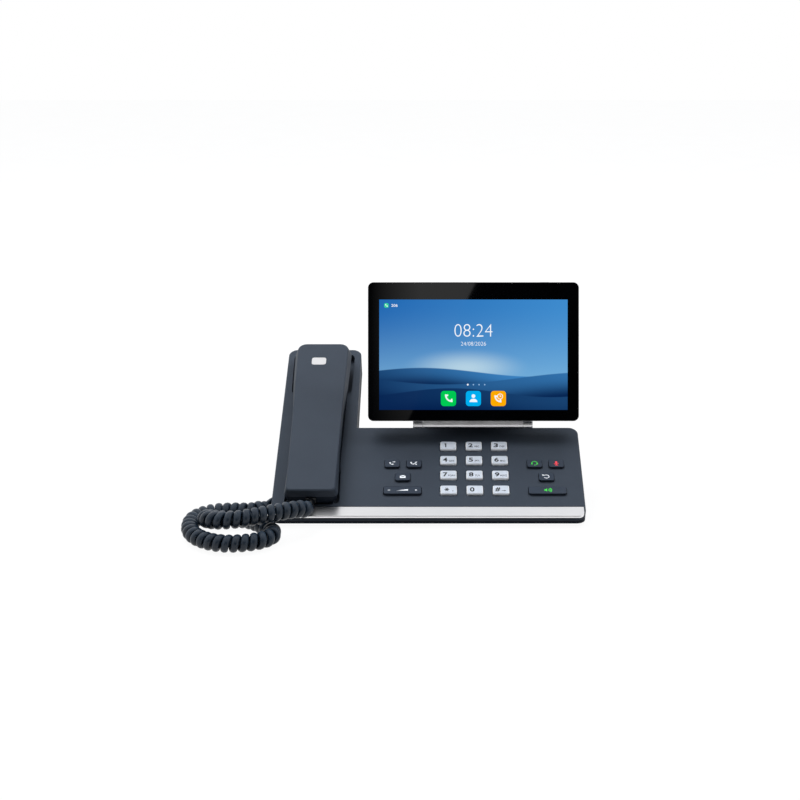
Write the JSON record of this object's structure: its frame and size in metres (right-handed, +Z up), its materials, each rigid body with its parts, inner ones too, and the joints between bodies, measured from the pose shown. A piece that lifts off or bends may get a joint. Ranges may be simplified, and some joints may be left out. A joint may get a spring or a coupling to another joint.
{
  "type": "desk ip phone",
  "caption": "Desk phone with a tilting touch screen on a hinge arm, a corded handset in a side cradle, a sloping dial pad with function keys and a plate foot stand",
  "frame": {"origin": "bottom centre of the bounding box, cord left out, on the table", "axes": "X across the phone with the handset on -X, Y from the front edge to the rear, Z up"},
  "size_m": [0.3126, 0.254, 0.1689],
  "materials": {
    "housing": "fine satin moulded ABS, slate grey",
    "housing_dark": "fine matt moulded ABS, dark slate",
    "handset_back": "fine matt moulded ABS, dark slate",
    "trim": "satin anodised aluminium, bevelled edges",
    "hinge_metal": "satin silver",
    "feet": "matt rubber",
    "steel": "bright zinc plate",
    "membrane": "matt silicone rubber",
    "board": "green solder mask",
    "driver": "black paper cone and steel basket",
    "dial_keys": "silver-grey satin",
    "soft_keys": "fine satin moulded ABS, slate grey",
    "sockets": "black nylon",
    "screen_frame": "gloss black",
    "screen_glass": "polished cover glass, black behind its border",
    "display": "lit liquid crystal panel",
    "light": "frosted light guide",
    "cord": "semi-gloss jacket",
    "plug": "semi-gloss moulding"
  },
  "bodies": {
    "base": {"top_housing": "housing", "bottom_housing": "housing_dark", "trim_strip": "trim", "foot_stand": "housing_dark", "stand_pads": "feet", "front_feet": "feet", "housing_screws": "steel", "stand_screws": "steel", "keypad_membrane": "membrane", "key_board": "board", "main_board": "board", "loudspeaker": "driver", "hook_pin": "steel", "network_sockets": "sockets", "headset_socket": "sockets", "power_socket": "sockets", "usb_socket": "steel", "handset_socket": "sockets", "hinge_lugs": "housing_dark", "hinge_pin": "steel", "hinge_caps": "housing_dark", "base_plug": "plug", "cord": "cord"},
    "screen": {"screen_frame": "screen_frame", "screen_cover": "housing_dark", "screen_screws": "steel", "cover_glass": "screen_glass", "display_panel": "display", "screen_board": "board", "status_light": "light", "hinge_arm": "hinge_metal", "arm_screws": "steel"},
    "handset": {"handset_front": "housing", "handset_back": "handset_back", "receiver": "driver", "microphone": "driver", "handset_weight": "steel", "handset_screws": "steel", "handset_plug": "plug"},
    "hook_lever": {"hook_switch": "handset_back"},
    "volume_key": {"volume_rocker": "soft_keys"},
    "press_key_1": {"key_1": "dial_keys"},
    "press_key_2": {"key_2": "dial_keys"},
    "press_key_3": {"key_3": "dial_keys"},
    "press_key_4": {"key_4": "dial_keys"},
    "press_key_5": {"key_5": "dial_keys"},
    "press_key_6": {"key_6": "dial_keys"},
    "press_key_7": {"key_7": "dial_keys"},
    "press_key_8": {"key_8": "dial_keys"},
    "press_key_9": {"key_9": "dial_keys"},
    "press_key_star": {"key_star": "dial_keys"},
    "press_key_0": {"key_0": "dial_keys"},
    "press_key_hash": {"key_hash": "dial_keys"},
    "press_transfer_key": {"transfer_key": "soft_keys"},
    "press_conference_key": {"conference_key": "soft_keys"},
    "press_message_key": {"message_key": "soft_keys"},
    "press_headset_key": {"headset_key": "soft_keys"},
    "press_mute_key": {"mute_key": "soft_keys"},
    "press_redial_key": {"redial_key": "soft_keys"},
    "press_speaker_key": {"speaker_key": "soft_keys"}
  },
  "joints": [
    {"name": "screen_tilt", "type": "hinge", "parent": "base", "child": "screen", "pos_m": [0.0365, 0.00248, 0.05045], "axis": [-1, 0, 0], "range_deg": [-5, 35]},
    {"name": "handset_lift", "type": "slide", "parent": "base", "child": "handset", "axis": [0, -0.4067, 0.9135], "range_m": [0, 0.06], "deforming": ["cord"]},
    {"name": "hook_turn", "type": "hinge", "parent": "base", "child": "hook_lever", "pos_m": [-0.0915, 0.00769, 0.04981], "axis": [1, 0, 0], "range_deg": [0, 12]},
    {"name": "volume_rock", "type": "hinge", "parent": "base", "child": "volume_key", "pos_m": [-0.0205, -0.06982, 0.0164], "axis": [0, 0.9135, 0.4067], "range_deg": [-3, 3], "stiffness_Nm_per_rad": 0.01},
    {"name": "key_1_press", "type": "slide", "parent": "base", "child": "press_key_1", "axis": [0, 0.4067, -0.9135], "range_m": [0, 0.0012], "stiffness_N_per_m": 100, "springref_m": -0.001},
    {"name": "key_2_press", "type": "slide", "parent": "base", "child": "press_key_2", "axis": [0, 0.4067, -0.9135], "range_m": [0, 0.0012], "stiffness_N_per_m": 100, "springref_m": -0.001},
    {"name": "key_3_press", "type": "slide", "parent": "base", "child": "press_key_3", "axis": [0, 0.4067, -0.9135], "range_m": [0, 0.0012], "stiffness_N_per_m": 100, "springref_m": -0.001},
    {"name": "key_4_press", "type": "slide", "parent": "base", "child": "press_key_4", "axis": [0, 0.4067, -0.9135], "range_m": [0, 0.0012], "stiffness_N_per_m": 100, "springref_m": -0.001},
    {"name": "key_5_press", "type": "slide", "parent": "base", "child": "press_key_5", "axis": [0, 0.4067, -0.9135], "range_m": [0, 0.0012], "stiffness_N_per_m": 100, "springref_m": -0.001},
    {"name": "key_6_press", "type": "slide", "parent": "base", "child": "press_key_6", "axis": [0, 0.4067, -0.9135], "range_m": [0, 0.0012], "stiffness_N_per_m": 100, "springref_m": -0.001},
    {"name": "key_7_press", "type": "slide", "parent": "base", "child": "press_key_7", "axis": [0, 0.4067, -0.9135], "range_m": [0, 0.0012], "stiffness_N_per_m": 100, "springref_m": -0.001},
    {"name": "key_8_press", "type": "slide", "parent": "base", "child": "press_key_8", "axis": [0, 0.4067, -0.9135], "range_m": [0, 0.0012], "stiffness_N_per_m": 100, "springref_m": -0.001},
    {"name": "key_9_press", "type": "slide", "parent": "base", "child": "press_key_9", "axis": [0, 0.4067, -0.9135], "range_m": [0, 0.0012], "stiffness_N_per_m": 100, "springref_m": -0.001},
    {"name": "key_star_press", "type": "slide", "parent": "base", "child": "press_key_star", "axis": [0, 0.4067, -0.9135], "range_m": [0, 0.0012], "stiffness_N_per_m": 100, "springref_m": -0.001},
    {"name": "key_0_press", "type": "slide", "parent": "base", "child": "press_key_0", "axis": [0, 0.4067, -0.9135], "range_m": [0, 0.0012], "stiffness_N_per_m": 100, "springref_m": -0.001},
    {"name": "key_hash_press", "type": "slide", "parent": "base", "child": "press_key_hash", "axis": [0, 0.4067, -0.9135], "range_m": [0, 0.0012], "stiffness_N_per_m": 100, "springref_m": -0.001},
    {"name": "transfer_key_press", "type": "slide", "parent": "base", "child": "press_transfer_key", "axis": [0, 0.4067, -0.9135], "range_m": [0, 0.0012], "stiffness_N_per_m": 100, "springref_m": -0.001},
    {"name": "conference_key_press", "type": "slide", "parent": "base", "child": "press_conference_key", "axis": [0, 0.4067, -0.9135], "range_m": [0, 0.0012], "stiffness_N_per_m": 100, "springref_m": -0.001},
    {"name": "message_key_press", "type": "slide", "parent": "base", "child": "press_message_key", "axis": [0, 0.4067, -0.9135], "range_m": [0, 0.0012], "stiffness_N_per_m": 100, "springref_m": -0.001},
    {"name": "headset_key_press", "type": "slide", "parent": "base", "child": "press_headset_key", "axis": [0, 0.4067, -0.9135], "range_m": [0, 0.0012], "stiffness_N_per_m": 100, "springref_m": -0.001},
    {"name": "mute_key_press", "type": "slide", "parent": "base", "child": "press_mute_key", "axis": [0, 0.4067, -0.9135], "range_m": [0, 0.0012], "stiffness_N_per_m": 100, "springref_m": -0.001},
    {"name": "redial_key_press", "type": "slide", "parent": "base", "child": "press_redial_key", "axis": [0, 0.4067, -0.9135], "range_m": [0, 0.0012], "stiffness_N_per_m": 100, "springref_m": -0.001},
    {"name": "speaker_key_press", "type": "slide", "parent": "base", "child": "press_speaker_key", "axis": [0, 0.4067, -0.9135], "range_m": [0, 0.0012], "stiffness_N_per_m": 100, "springref_m": -0.001}
  ],
  "couplings": [
    {"joint": "hook_turn", "follows": "handset_lift", "rad_per_m": 3.4907}
  ]
}
